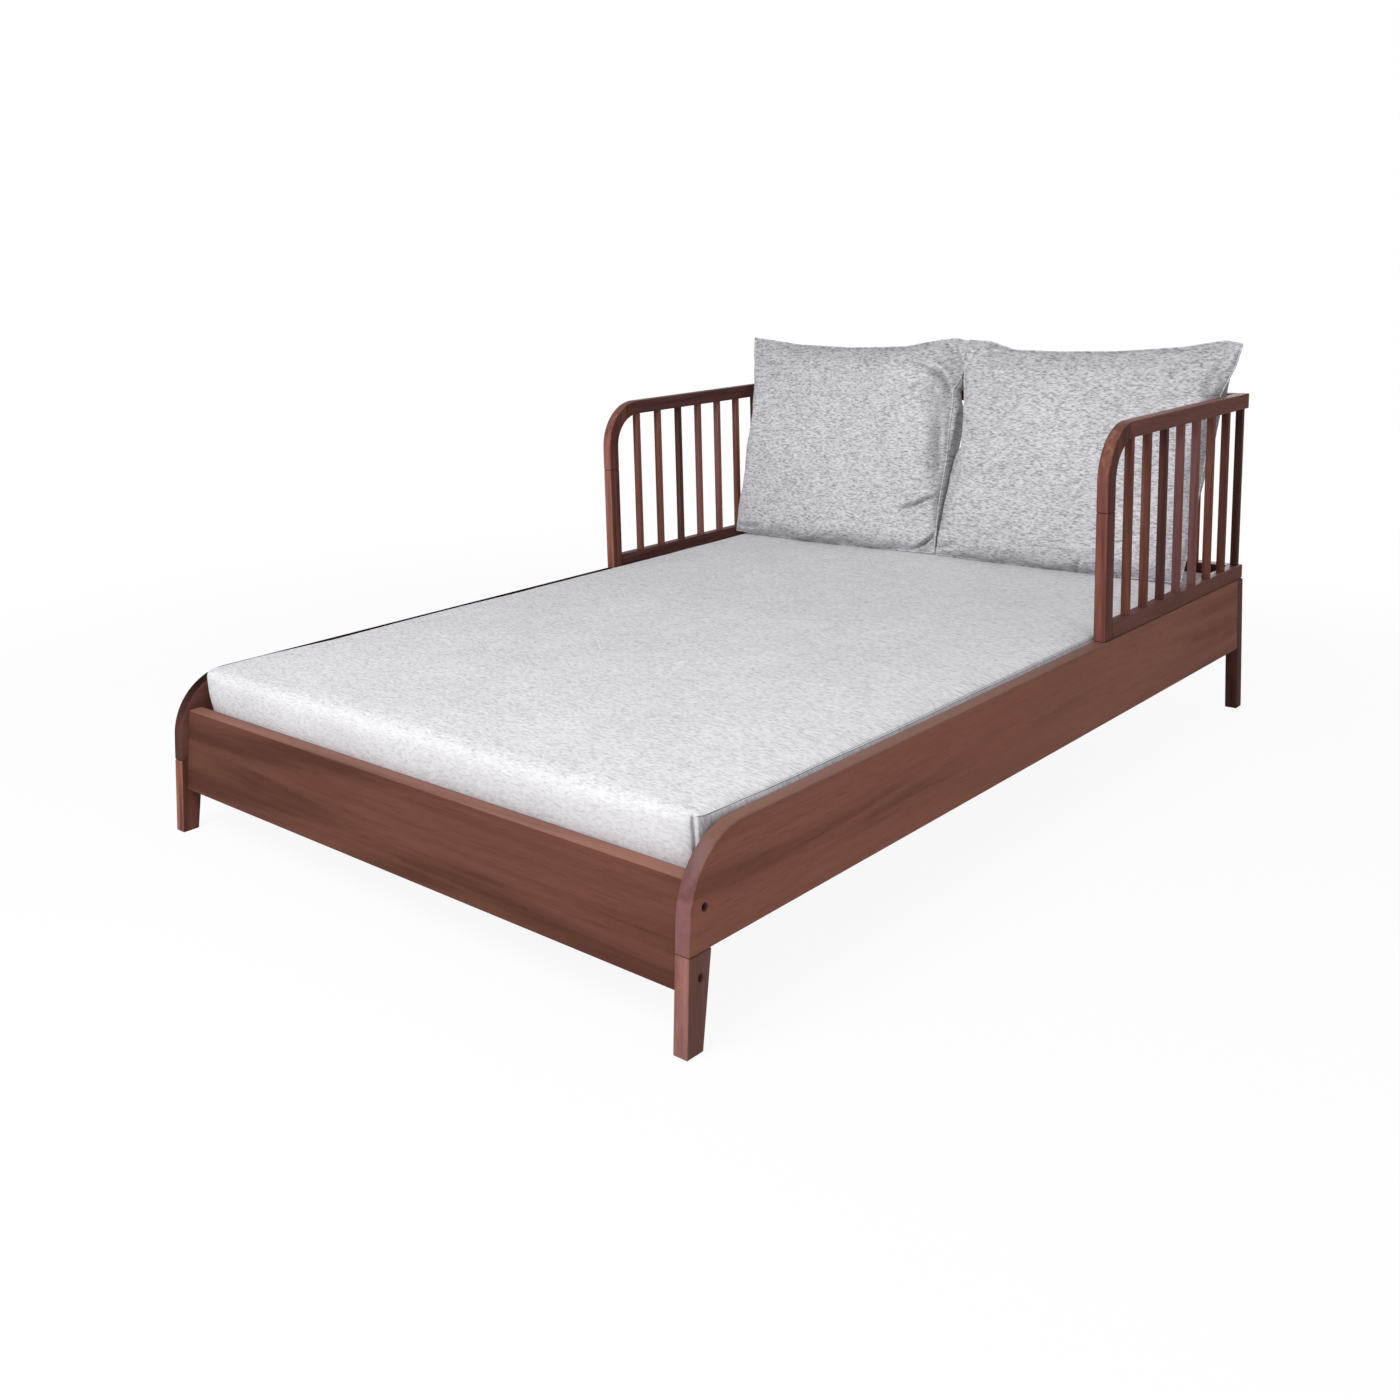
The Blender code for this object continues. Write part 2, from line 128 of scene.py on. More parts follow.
# timber: streaks run along one axis of the piece
WOODS = {}
PLAIN = (1.0, 1.0, 1.0)
GLOSS_SIDE, GLOSS_TOP = 0.03, 0.22   # specular level of upright faces and of faces that look up
TONES = {   # dark, middle and light streaks, then factors that paint light and shade on faces that look along y and on top faces
    "board": ((0.172, 0.066, 0.046), (0.230, 0.090, 0.063), (0.258, 0.103, 0.071),
              (0.92, 1.06, 1.5), (0.72, 0.84, 0.88)),
    "rail": ((0.086, 0.032, 0.023), (0.120, 0.047, 0.032), (0.148, 0.060, 0.041), PLAIN, (1.7, 1.9, 2.0)),
    "leg": ((0.118, 0.053, 0.044), (0.148, 0.068, 0.057), (0.180, 0.084, 0.071), (1.83, 1.8, 1.8), PLAIN),
    "post": ((0.070, 0.025, 0.019), (0.110, 0.040, 0.030), (0.172, 0.068, 0.050), (2.0, 2.1, 2.15), PLAIN),
    # lee tone: a darker copy of the board tone, painted shade for the left board, with more painted shade on its
    # top
    "lee_shaded": ((0.105, 0.042, 0.032), (0.140, 0.057, 0.045), (0.180, 0.076, 0.060),
            (0.6, 0.6, 0.65), (0.2, 0.2, 0.2)),
    "band": ((0.130, 0.052, 0.040), (0.165, 0.067, 0.052), (0.200, 0.084, 0.066), PLAIN, PLAIN),
    "base": ((0.108, 0.042, 0.031), (0.136, 0.053, 0.039), (0.166, 0.067, 0.050), PLAIN, PLAIN),
    # dusk and shade tones: darker copies of the timber, painted shade for pieces that sit out of the light
    "dusk_shaded": ((0.062, 0.025, 0.021), (0.092, 0.039, 0.033), (0.130, 0.058, 0.048), PLAIN, PLAIN),
    "shade": ((0.050, 0.020, 0.016), (0.074, 0.030, 0.025), (0.108, 0.048, 0.039), PLAIN, PLAIN),
    "russet": ((0.122, 0.043, 0.030), (0.182, 0.069, 0.048), (0.245, 0.103, 0.073), PLAIN, PLAIN),
    "deck": ((0.170, 0.085, 0.050), (0.270, 0.150, 0.092), (0.360, 0.215, 0.140), PLAIN, PLAIN),
}


def timber(axis, tone, seed, fine=0.3):
    """Stained hardwood with its grain along x, y or z, and painted light and shade on faces that look along y and
    up; fine is the share of narrow streaks.
    """
    key = (axis, tone, seed, fine)
    if key in WOODS:
        return WOODS[key]
    t = Tree("timber_%s_%s_%d" % ("xyz"[axis], tone, seed))
    dark, mid, light, front, top = TONES[tone]
    coord = t.add("TexCoord")
    shift = (1.7 * seed, 2.9 * seed, 4.3 * seed)

    def grain(along, across):
        scale = tuple(along if i == axis else across for i in range(3))
        return t.stretch(coord.outputs["Object"], scale, shift)

    figure = t.noise(grain(1.2, 15.0), 1.0, 3.0, 0.5, 0.9)
    streak = t.noise(grain(3.4, 85.0), 1.0, 2.0, 0.55, 0.4)
    pore = t.noise(grain(26.0, 900.0), 1.0, 2.0, 0.5)
    both = t.math("ADD", t.math("MULTIPLY", figure, 1 - fine), t.math("MULTIPLY", streak, fine))
    colour = t.ramp(both, [(0.38, dark), (0.50, mid), (0.63, light)])
    colour = t.tint(colour, pore, [(0.34, 0.80), (0.44, 1.0)])
    # painted light and shade: faces that look along y and faces that look up take the tone's factors
    facing = t.add("SeparateXYZ", {0: coord.outputs["Normal"]})
    for share, tint in ((t.math("ABSOLUTE", facing.outputs[1]), front), (facing.outputs[2], top)):
        if tint != PLAIN:
            share = t.ramp(share, [(0.35, grey(0.0)), (0.82, grey(1.0))])
            colour = t.mix("MIX", share, colour, t.mix("MULTIPLY", 1.0, colour, (*tint, 1.0)))
    top_gloss = GLOSS_TOP if min(top) > 0.5 else 0.0
    upward = t.ramp(facing.outputs[2], [(0.45, grey(GLOSS_SIDE)), (0.85, grey(top_gloss))])
    t.set(t.shader.inputs["Base Color"], colour)
    t.set(t.shader.inputs["Roughness"], t.ramp(streak, [(0.3, grey(0.50)), (0.7, grey(0.62))]))
    t.set(t.shader.inputs["Specular IOR Level"], upward)
    relief = t.math("ADD", streak, t.math("MULTIPLY", pore, 0.5))
    t.set(t.shader.inputs["Normal"], t.bump(relief, 0.15, 0.0006))
    WOODS[key] = t.material
    return t.material


# woven covers: rows of heathered yarn with short dark dashes along the weft
YARNS = ((0.010, 1.0, 0.7), (0.019, 0.67, 0.3))   # length of a dash, share of the row count, weight
ROW_JUMP = 7.31           # how far the noise jumps from one row to the next
SIDE_TURN = 0.6           # keeps the dashes short where a cushion's side turns to the back
# painted shade: the mattress's side bands are darkened as if out of the light
BAND_PAINTED_SHADE = (0.68, 0.68, 0.69, 1.0)


def weave(name, base, dash, pale, rows, boxed=False):
    """Light yarn with darker dashes along x.

    A boxed cover is calmer, most of all on its ends, and has side bands darkened by painted shade, with dashes
    along z. Any other cover has painted shade where it turns right, up or down and in its folds.
    """
    t = Tree(name)
    coord = t.add("TexCoord")
    place = t.add("SeparateXYZ", {0: coord.outputs["Object"]})
    x, y, z = place.outputs
    facing = t.add("SeparateXYZ", {0: coord.outputs["Normal"]}).outputs
    if boxed:
        run, climb = x, t.math("ADD", y, z)
        band = t.math("GREATER_THAN", t.math("ABSOLUTE", facing[0]), 0.72)
        calm = t.ramp(t.math("ABSOLUTE", facing[1]), [(0.4, grey(0.2)), (0.8, grey(0.52))])
    else:
        run, climb = t.math("ADD", x, t.math("MULTIPLY", y, SIDE_TURN)), z

    def yarn(run, climb, length, count):
        """Dashes along one axis, drawn afresh in each row."""
        row = t.math("MULTIPLY", t.math("FLOOR", t.math("MULTIPLY", climb, count)), ROW_JUMP)
        spot = t.add("CombineXYZ", {0: t.math("DIVIDE", run, length), 1: row, 2: length * 90.0})
        return t.noise(spot.outputs[0], 1.0, 1.0, 0.5)

    def layer(length, count):
        flat = yarn(run, climb, length, count)
        if not boxed:
            return flat
        return t.add("Mix", {0: band, 2: flat, 3: yarn(z, y, length, count)}).outputs[0]

    first, second = (t.math("MULTIPLY", layer(length, share * rows), weight) for length, share, weight in YARNS)
    both = t.math("ADD", first, second)
    colour = t.ramp(both, [(0.34, dash), (0.50, base), (0.66, pale)])
    if boxed:
        colour = t.mix("MIX", calm, colour, (*base, 1.0))
        colour = t.mix("MULTIPLY", band, colour, BAND_PAINTED_SHADE)
    else:
        tilt_for_shade = t.math("MULTIPLY_ADD", facing[2], 0.5, 0.5)      # 0 looks down, 1 looks up
        fold = t.add("Attribute", attribute_name="fold").outputs["Fac"]
        # painted shade where the cover turns towards +x
        colour = t.tint(colour, facing[0], [(0.30, 1.0), (0.90, 0.74)])
        # painted shade on faces that look up and on faces that look down
        colour = t.tint(colour, tilt_for_shade, [(0.30, 0.84), (0.55, 1.0), (0.65, 1.0), (0.78, 0.82)])
        # painted shade in the folds
        colour = t.tint(colour, fold, [(0.10, 1.0), (1.0, 0.55)])
    cloud = t.noise(coord.outputs["Object"], 7.0, 2.0, 0.5)
    colour = t.tint(colour, cloud, [(0.35, 0.97), (0.65, 1.02)])
    t.set(t.shader.inputs["Base Color"], colour)
    t.shader.inputs["Roughness"].default_value = 0.93
    t.shader.inputs["Specular IOR Level"].default_value = 0.1
    t.shader.inputs["Sheen Weight"].default_value = 0.08
    t.shader.inputs["Sheen Roughness"].default_value = 0.6
    t.set(t.shader.inputs["Normal"], t.bump(both, 0.15, 0.0012))
    return t.material


PAD_CLOTH = weave("mattress_cloth", (0.70, 0.695, 0.725), (0.45, 0.445, 0.465), (0.84, 0.835, 0.86),
                  rows=450.0, boxed=True)
CUSHION_CLOTH = weave("cushion_cloth", (0.61, 0.605, 0.635), (0.31, 0.31, 0.325), (0.79, 0.785, 0.81),
                      rows=460.0)


def steel():
    t = Tree("dark_steel")
    place = t.add("TexCoord").outputs["Object"]
    wear = t.noise(place, 900.0, 3.0, 0.6)
    t.set(t.shader.inputs["Base Color"], t.ramp(wear, [(0.3, grey(0.035)), (0.7, grey(0.075))]))
    t.set(t.shader.inputs["Roughness"], t.ramp(wear, [(0.3, grey(0.34)), (0.7, grey(0.5))]))
    t.shader.inputs["Metallic"].default_value = 1.0
    return t.material


STEEL = steel()


# which way the grain runs and which tone each timber piece has
# the spindles with the darker dusk tone get painted shade
SPINDLE_TONES = ("rail", "russet", "russet", "dusk_shaded", "board", "board",      # by number; 0 is never used
                 "russet", "rail", "dusk_shaded", "rail", "russet")
WELD = 0.00001                       # facets of a CAD piece are joined within this distance
SHARP = math.radians(62)             # edges steeper than this stay sharp


def wood_for(name):
    number = int(name.split("_")[-1]) if name[-1].isdigit() else 0
    # the left board, left front leg and left arm take darker copies of their tones: painted shade
    left = "left" in name
    if "slat" in name or name == "centre_bearer":
        return timber(0 if name.startswith("deck") else 1, "deck", number % 3 + 1)
    if name.startswith("side_board"):
        return timber(1, "lee_shaded" if left else "board", 2 if left else 1)
    if name in ("foot_rail", "head_rail"):
        return timber(0, "rail", 3)
    if name.startswith("front_leg"):
        return timber(2, "post" if left else "leg", 2, 0.6)
    # rear posts and corner spindles take the darkest copy: painted shade
    if name.startswith("rear_post"):
        return timber(2, "shade", 2, 0.6)
    if name.startswith(("arm_post", "arm_corner")):
        return timber(2, "post", 3, 0.6)
    if name.startswith("arm_top"):
        return timber(1, "dusk_shaded" if left else "band", 4, 0.6)
    if name.startswith("arm_base"):
        return timber(1, "dusk_shaded" if left else "base", 6, 0.6)
    if name.startswith("corner_spindle"):
        return timber(2, "shade", 5, 0.6)
    if "spindle" in name:
        return timber(2, SPINDLE_TONES[number], number % 4 + 4, 0.6)
    return timber(0, "dusk_shaded", 5, 0.6)


def soften(obj):
    """Welds the facets of a CAD piece and shades its eased edges as rounded ones."""
    group = bpy.data.node_groups.get("rounded_shading")
    if group is None:
        group = bpy.data.node_groups.new("rounded_shading", "GeometryNodeTree")
        group.interface.new_socket("Geometry", in_out="INPUT", socket_type="NodeSocketGeometry")
        group.interface.new_socket("Geometry", in_out="OUTPUT", socket_type="NodeSocketGeometry")
        start = group.nodes.new("NodeGroupInput").outputs[0]
        weld = group.nodes.new("GeometryNodeMergeByDistance")
        weld.inputs["Distance"].default_value = WELD
        clear = group.nodes.new("GeometryNodeRemoveAttribute")
        clear.inputs["Name"].default_value = "custom_normal"
        smooth = group.nodes.new("GeometryNodeSetShadeSmooth")
        angle = group.nodes.new("GeometryNodeInputMeshEdgeAngle")
        steep = group.nodes.new("FunctionNodeCompare")
        steep.operation = "GREATER_THAN"
        steep.inputs[1].default_value = SHARP
        sharp = group.nodes.new("GeometryNodeSetShadeSmooth")
        sharp.domain = "EDGE"
        sharp.inputs["Shade Smooth"].default_value = False
        end = group.nodes.new("NodeGroupOutput")
        join = group.links.new
        join(start, weld.inputs[0])
        join(weld.outputs[0], clear.inputs[0])
        join(clear.outputs[0], smooth.inputs[0])
        join(angle.outputs[0], steep.inputs[0])
        join(steep.outputs[0], sharp.inputs["Selection"])
        join(smooth.outputs[0], sharp.inputs[0])
        join(sharp.outputs[0], end.inputs[0])
    obj.modifiers.new("rounded_shading", "NODES").node_group = group
    obj.modifiers.new("face_weights", "WEIGHTED_NORMAL").keep_sharp = True


SOFT = ("mattress", "back_cushion_left", "back_cushion_right")
for name, obj in NODES.items():
    if name in SOFT:
        continue
    skin = STEEL if "bolt" in name else wood_for(name)
    obj.data.materials.clear()
    obj.data.materials.append(skin)
    soften(obj)


# soft pieces
def link(name, bm, skin):
    """Makes a smooth mesh object with one material."""
    mesh = bpy.data.meshes.new(name)
    bm.to_mesh(mesh)
    bm.free()
    mesh.materials.append(skin)
    for poly in mesh.polygons:
        poly.use_smooth = True
    obj = bpy.data.objects.new(name, mesh)
    SCENE.collection.objects.link(obj)
    return obj


def spots(obj):
    """Places of an object's vertices."""
    co = np.empty(len(obj.data.vertices) * 3, np.float32)
    obj.data.vertices.foreach_get("co", co)
    return co.reshape(-1, 3).astype(float)


def move(obj, co):
    """Puts an object's vertices at the given places."""
    obj.data.vertices.foreach_set("co", np.ascontiguousarray(co, np.float32).ravel())
    obj.data.update()


def swell(obj, pressure, frames, stiff, bend, cap):
    """Inflates a closed cover with cloth, keeps the result, and caps how far a point may move."""
    rest = spots(obj)
    cloth = obj.modifiers.new("swell", "CLOTH")
    cloth.settings.use_pressure = True
    cloth.settings.uniform_pressure_force = pressure
    cloth.settings.effector_weights.gravity = 0.0
    cloth.settings.tension_stiffness = cloth.settings.compression_stiffness = stiff
    cloth.settings.shear_stiffness = stiff * 0.4
    cloth.settings.bending_stiffness = bend
    cloth.collision_settings.use_collision = False
    cloth.point_cache.frame_end = frames
    for number in range(1, frames + 1):
        SCENE.frame_set(number)
    shaped = obj.evaluated_get(bpy.context.evaluated_depsgraph_get())
    co = np.empty(len(rest) * 3, np.float32)
    shaped.data.vertices.foreach_get("co", co)
    step = co.reshape(-1, 3).astype(float) - rest
    far = np.linalg.norm(step, axis=1, keepdims=True)
    obj.modifiers.remove(cloth)
    SCENE.frame_set(1)
    move(obj, rest + step * np.minimum(1.0, cap / np.maximum(far, 1e-9)))


def finer(obj):
    """Adds one level of subdivision."""
    obj.modifiers.new("finer", "SUBSURF").levels = 1
    obj.modifiers["finer"].render_levels = 1


def seam(name, path, radius, skin, body, closed=False):
    """Sewn edge: a thin corded line along a path."""
    curve = bpy.data.curves.new(name, "CURVE")
    curve.dimensions = "3D"
    curve.bevel_depth = radius
    curve.bevel_resolution = 2
    line = curve.splines.new("POLY")
    line.points.add(len(path) - 1)
    for point, spot in zip(line.points, path):
        point.co = (*spot, 1.0)
    line.use_cyclic_u = closed
    curve.materials.append(skin)
    obj = bpy.data.objects.new(name, curve)
    SCENE.collection.objects.link(obj)
    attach(obj, body)


# mattress: a boxed pad whose top and ends are one panel, with sewn side bands
PAD_CELL = 0.020
PAD_HALF = Vector((0.6212, 0.9345, 0.0532))
PAD_ROUND = 0.013         # radius of the long edges
PAD_CORNER = 0.030        # radius of the upright corners
PAD_CROWN = 0.007
PAD_SAG = 0.005           # the long edges sink by this much between the corners
PAD_DRAWN = 0.005         # the lower front corners are drawn in by this much
PAD_LEAN = 0.006          # the ends lean out at the top by this much
PAD_FORWARD = 0.003       # the cover sits this much nearer to the foot end than the solid's middle
PAD_WAVE_TOP, PAD_WAVE_END = 0.0016, 0.0012   # slight waves of the top and of the ends
PAD_GAP_SIDE, PAD_GAP_BACK, PAD_GAP_RAIL, PAD_GAP_DECK = 0.0012, 0.002, 0.0015, 0.0002
PAD_SEAM = 0.0010
arm_inner, arm_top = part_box("arm_top_rail_right")[0].x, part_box("arm_top_rail_right")[1].z
back_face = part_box("back_top_rail")[0].y
pad_low, pad_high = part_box("mattress")


def pad_cover():
    """Builds the mattress cover; also gives each vertex's place on the unit cube it came from."""
    half = np.array(PAD_HALF)
    middle = np.array(((pad_low.x + pad_high.x) / 2, (pad_low.y + pad_high.y) / 2 - PAD_FORWARD,
                       pad_low.z + PAD_HALF.z))
    bm = bmesh.new()
    bmesh.ops.create_cube(bm, size=2.0)
    for axis in range(3):
        side = Vector((0, 0, 0))
        side[axis] = 1.0
        near = 1 - 1.9 * PAD_ROUND / half[axis]
        inner = max(2, round(2 * near * half[axis] / PAD_CELL))
        cuts = [-near + 2 * near * i / inner for i in range(inner + 1)]
        cuts += [sign * (1 - PAD_ROUND * k / half[axis]) for sign in (-1, 1) for k in (0.25, 0.6, 1.0)]
        for cut in sorted(cuts):
            bmesh.ops.bisect_plane(bm, geom=bm.verts[:] + bm.edges[:] + bm.faces[:], dist=1e-7,
                                   plane_co=side * cut, plane_no=side)
    units = np.array([v.co for v in bm.verts])
    obj = link("mattress_cover", bm, PAD_CLOTH)
    co = units * half
    core = np.clip(co, PAD_ROUND - half, half - PAD_ROUND)
    out = co - core
    length = np.linalg.norm(out, axis=1, keepdims=True)
    co = np.where(length > 0, core + out / np.maximum(length, 1e-9) * PAD_ROUND, co)
    corner = np.maximum(np.abs(co[:, :2]) - half[:2] + PAD_CORNER, 0)
    shrink = corner.max(axis=1) / np.maximum(np.hypot(corner[:, 0], corner[:, 1]), 1e-9)
    both = (corner > 0).all(axis=1)
    co[both, :2] -= np.sign(co[both, :2]) * corner[both] * (1 - shrink[both])[:, None]
    dome = ((1 - units[:, 0] ** 2) * (1 - units[:, 1] ** 2)) ** 0.4
    high = np.maximum(0.0, units[:, 2])
    end = np.clip((np.abs(co[:, 1]) - half[1] + 0.08) / 0.08, 0, 1)
    co[:, 1] += np.sign(co[:, 1]) * PAD_LEAN * end * units[:, 2] * 0.5
    co += middle
    ripple = np.array([noise.noise(Vector(c) * 5.0) + 0.35 * noise.noise(Vector(c) * 17.0) for c in co])
    sag = PAD_SAG * np.abs(units[:, 0]) ** 6 * np.sqrt(1 - np.minimum(units[:, 1] ** 2, 1))
    co[:, 2] += (PAD_CROWN * dome - sag + PAD_WAVE_TOP * ripple) * high
    co[:, 1] += PAD_WAVE_END * ripple * np.sign(units[:, 1]) * end
    drawn = np.exp(-(half[0] * (1 - np.abs(units[:, 0])) + half[1] * (1 + units[:, 1])) / 0.045)
    drawn *= PAD_DRAWN * np.clip((middle[2] - co[:, 2]) / 0.022, 0, 1) ** 1.5
    co[:, 0] -= np.sign(units[:, 0]) * drawn
    co[:, 1] += drawn
    move(obj, co)
    swell(obj, pressure=0.5, frames=8, stiff=60.0, bend=0.8, cap=0.0025)
    return obj, units


PAD, pad_units = pad_cover()
pad_spots = spots(PAD)
pad_spots[:, 0] = np.clip(pad_spots[:, 0], -arm_inner + PAD_GAP_SIDE, arm_inner - PAD_GAP_SIDE)
pad_spots[:, 1] = np.minimum(pad_spots[:, 1], back_face - PAD_GAP_BACK)
low = pad_spots[:, 2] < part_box("foot_rail")[1].z + 0.004     # the part that lies behind the foot rail
pad_spots[low, 1] = np.maximum(pad_spots[low, 1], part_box("foot_rail")[1].y + PAD_GAP_RAIL)
pad_spots[:, 2] = np.maximum(pad_spots[:, 2], pad_low.z + PAD_GAP_DECK)
move(PAD, pad_spots)
for side, sign in (("left", -1), ("right", 1)):
    edge = np.abs(pad_units[:, 0] - sign) < 1e-5
    front = np.where(edge & (np.abs(pad_units[:, 1] + 1) < 1e-5))[0]
    top = np.where(edge & (np.abs(pad_units[:, 2] - 1) < 1e-5))[0]
    rear = np.where(edge & (np.abs(pad_units[:, 1] - 1) < 1e-5))[0]
    path = ([pad_spots[i] for i in front[np.argsort(pad_units[front, 2])]]
            + [pad_spots[i] for i in top[np.argsort(pad_units[top, 1])]][1:-1]
            + [pad_spots[i] for i in rear[np.argsort(-pad_units[rear, 2])]])
    seam("mattress_seam_" + side, path, PAD_SEAM, PAD_CLOTH, "mattress")
pad_tree = BVHTree.FromPolygons([Vector(c) for c in pad_spots], [tuple(p.vertices) for p in PAD.data.polygons])
finer(PAD)
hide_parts("mattress")
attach(PAD, "mattress")


def pad_top(x, y):
    """Height of the mattress cover at a place."""
    hit = pad_tree.ray_cast(Vector((x, y, 1.0)), Vector((0, 0, -1)))[0]
    return pad_low.z if hit is None else hit.z


# back cushions: two panels sewn round the edge, filled, and leaned on the gallery
CUSHION_CELLS = (84, 72)
CUSHION_PANEL = (0.63, 0.54)         # width and height of a flat panel, for the sizes of folds
CUSHION_DOME = 0.034      # height of a panel's middle before it is filled
CUSHION_SEAM = 0.0019
CUSHION_GAP, CUSHION_PAD_GAP = 0.0015, 0.0014   # room left to the timber and to the mattress
CUSHION_FULL = 0.86       # below 1 the filling reaches closer to the seam
FOOT, SLOPE = (0.745, 0.330), 0.335   # seam plane: y and z at the foot, and how far it leans
TUCK = 0.014              # the seam at the foot lies this much further back
MEET, MEET_GAP = 0.001, 0.0024      # the backs of the two cushions meet at this x, each this far from it
LOBE = {"left": 0.065, "right": 0.097}   # how far the backs swell sideways at the inner seams
LOBE_SPAN = 0.28          # share of the panel that the swelling takes up
LOBE_TOP = {"left": 0.86, "right": 0.62}   # the swelling fades out at this height of the panel
OUTER_BACK = 0.034        # the right cushion is fuller behind its outer seam by this much
EAR_BACK = 0.010          # the left cushion's inner ear leans back by this much
LOOSE = 0.25              # how much flatter the filling is at the left cushion's inner side
RIM_WAVE = 0.005          # waves of the cover near its seam
FOLD_DEEP = 0.010         # a fold of this depth gets the full painted shade
EDGES = {     # seam of each cushion once filled: place along the edge, x and z
    "left": {
        "outer": ((0, -0.610, 0.330), (0.12, -0.607, 0.39), (0.24, -0.604, 0.45), (0.43, -0.602, 0.553),
                  (0.62, -0.610, 0.655), (0.80, -0.632, 0.754), (0.9, -0.647, 0.80), (1, -0.656, 0.848)),
        "inner": ((0, -0.0015, 0.330), (0.1, -0.0015, 0.38), (0.26, -0.005, 0.464), (0.43, -0.004, 0.553),
                  (0.6, -0.011, 0.636), (0.74, -0.014, 0.706), (0.77, -0.020, 0.722), (0.81, -0.006, 0.742),
                  (0.85, -0.0015, 0.764), (1, -0.0015, 0.838)),
        "top": ((0, -0.656, 0.848), (0.25, -0.50, 0.829), (0.5, -0.335, 0.8215), (0.75, -0.175, 0.825),
                (0.87, -0.10, 0.838), (0.95, -0.04, 0.846), (1, -0.0015, 0.838)),
        "foot": ((0, -0.610, 0.330), (0.33, -0.41, 0.325), (0.66, -0.20, 0.325), (1, -0.0015, 0.330)),
    },
    "right": {
        "outer": ((0, 0.598, 0.328), (0.15, 0.606, 0.40), (0.35, 0.611, 0.50), (0.6, 0.614, 0.64),
                  (0.78, 0.626, 0.735), (0.9, 0.645, 0.79), (1, 0.652, 0.834)),
        "inner": ((0, 0.0035, 0.328), (0.12, 0.016, 0.39), (0.27, 0.030, 0.468), (0.42, 0.042, 0.545),
                  (0.57, 0.032, 0.62), (0.72, 0.018, 0.697), (0.79, 0.010, 0.735), (0.84, 0.005, 0.762),
                  (1, 0.0035, 0.842)),
        "top": ((0, 0.652, 0.834), (0.05, 0.617, 0.841), (0.2, 0.524, 0.826), (0.43, 0.374, 0.816),
                (0.65, 0.232, 0.815), (0.81, 0.124, 0.819), (0.9, 0.065, 0.838), (1, 0.0035, 0.842)),
        "foot": ((0, 0.598, 0.328), (0.33, 0.40, 0.325), (0.66, 0.20, 0.325), (1, 0.0035, 0.328)),
    },
}
CREASES = {   # folds on the front: points across and up the panel, depth, half width
    "left": (
        (((0.84, 0.200), (0.90, 0.222), (0.945, 0.250), (0.985, 0.262)), 0.011, 0.0045),
        (((0.90, 0.016), (0.955, 0.045), (1.0, 0.095)), 0.013, 0.005),
        (((0.89, 0.835), (0.95, 0.795), (0.99, 0.76)), 0.010, 0.008),
        (((0.915, 0.985), (0.955, 0.925)), 0.005, 0.006),
        (((0.955, 0.985), (0.985, 0.90)), 0.004, 0.005),
        (((0.86, 0.975), (0.93, 0.955)), 0.003, 0.006),
        (((0.965, 0.32), (0.955, 0.62)), 0.006, 0.013),
        (((0.03, 0.03), (0.16, 0.055)), 0.004, 0.008),
        (((0.01, 0.985), (0.10, 0.88)), 0.004, 0.009),
        (((0.46, 0.012), (0.62, 0.028)), 0.003, 0.007),
    ),
    "right": (
        (((0.80, 0.955), (0.90, 0.925)), 0.005, 0.008),
        (((0.93, 0.975), (0.985, 0.86)), 0.004, 0.007),
        (((0.012, 0.985), (0.045, 0.86), (0.05, 0.78)), 0.003, 0.008),
        (((0.03, 0.990), (0.14, 0.93)), 0.003, 0.007),
        (((0.40, 0.0), (0.37, 0.07)), 0.006, 0.008),
        (((0.985, 0.03), (0.90, 0.065)), 0.005, 0.007),
        (((0.30, 0.015), (0.42, 0.03)), 0.003, 0.007),
    ),
}


def along(points, place):
    """Spots at the given places along one seam edge, on the leaning seam plane."""
    row = np.array(points)
    x, z = np.interp(place, row[:, 0], row[:, 1]), np.interp(place, row[:, 0], row[:, 2])
    y = FOOT[0] + (z - FOOT[1]) * SLOPE + TUCK * np.exp((FOOT[1] - z) / 0.05)
    return np.stack([x, y, z], axis=-1)


def patch(sides, u, w):
    """Blends four edges given as functions of place into a surface."""
    u_, w_ = u[:, None], w[:, None]
    zero, one = np.zeros(1), np.ones(1)
    flat = ((1 - u_) * sides["outer"](w) + u_ * sides["inner"](w)
            + (1 - w_) * sides["foot"](u) + w_ * sides["top"](u))
    corner = ((1 - u_) * (1 - w_) * sides["outer"](zero) + u_ * (1 - w_) * sides["inner"](zero)
              + (1 - u_) * w_ * sides["outer"](one) + u_ * w_ * sides["inner"](one))
    return flat - corner


def crease(u, w, path, depth, width):
    """Height of a fold: a groove along a path with raised lips, fading to its ends."""
    spot = np.stack([u * CUSHION_PANEL[0], w * CUSHION_PANEL[1]], axis=-1)
    ends = np.array(path) * CUSHION_PANEL
    steps = np.linalg.norm(np.diff(ends, axis=0), axis=1)
    best, place = np.full(len(u), 9.0), np.zeros(len(u))
    for i, step in enumerate(steps):
        line = (ends[i + 1] - ends[i]) / step
        t = np.clip((spot - ends[i]) @ line, 0, step)
        gap = np.linalg.norm(spot - ends[i] - t[:, None] * line, axis=1)
        near = gap < best
        best[near], place[near] = gap[near], ((steps[:i].sum() + t) / steps.sum())[near]
    fade = np.sqrt(np.clip(np.sin(np.pi * (0.06 + 0.88 * place)), 0, 1))
    return depth * fade * (0.45 * np.exp(-((best - 1.7 * width) / width) ** 2) - np.exp(-(best / width) ** 2))


